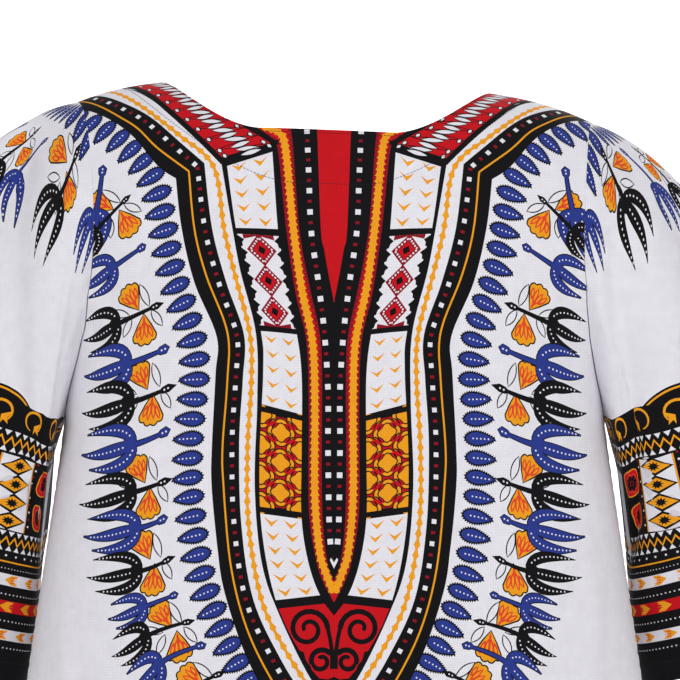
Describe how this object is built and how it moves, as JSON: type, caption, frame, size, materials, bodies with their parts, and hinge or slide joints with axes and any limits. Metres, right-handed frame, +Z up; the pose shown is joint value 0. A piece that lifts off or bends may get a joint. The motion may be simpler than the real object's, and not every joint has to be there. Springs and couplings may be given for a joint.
{
  "type": "dashiki shirt",
  "caption": "Loose pullover cotton shirt with wide elbow-length sleeves, a slit round neck and a bold printed panel, hollow as worn.",
  "frame": {"origin": "middle of the neck opening at the height of the shoulders, where the wearer's shoulders carry the shirt", "axes": "+Z up, -Y towards the wearer's back, +X towards the wearer's right"},
  "size_m": [0.9255, 0.2773, 0.7582],
  "materials": {
    "printed_cotton": "matte printed plain-weave cotton",
    "sleeve_cotton": "matte printed plain-weave cotton",
    "facing_cotton": "matte unprinted plain-weave cotton"
  },
  "bodies": {
    "root": {"back_panel": "printed_cotton", "front_panel": "printed_cotton", "sleeve_left": "sleeve_cotton", "sleeve_right": "sleeve_cotton", "facing_back": "facing_cotton", "facing_front": "facing_cotton"}
  },
  "joints": []
}
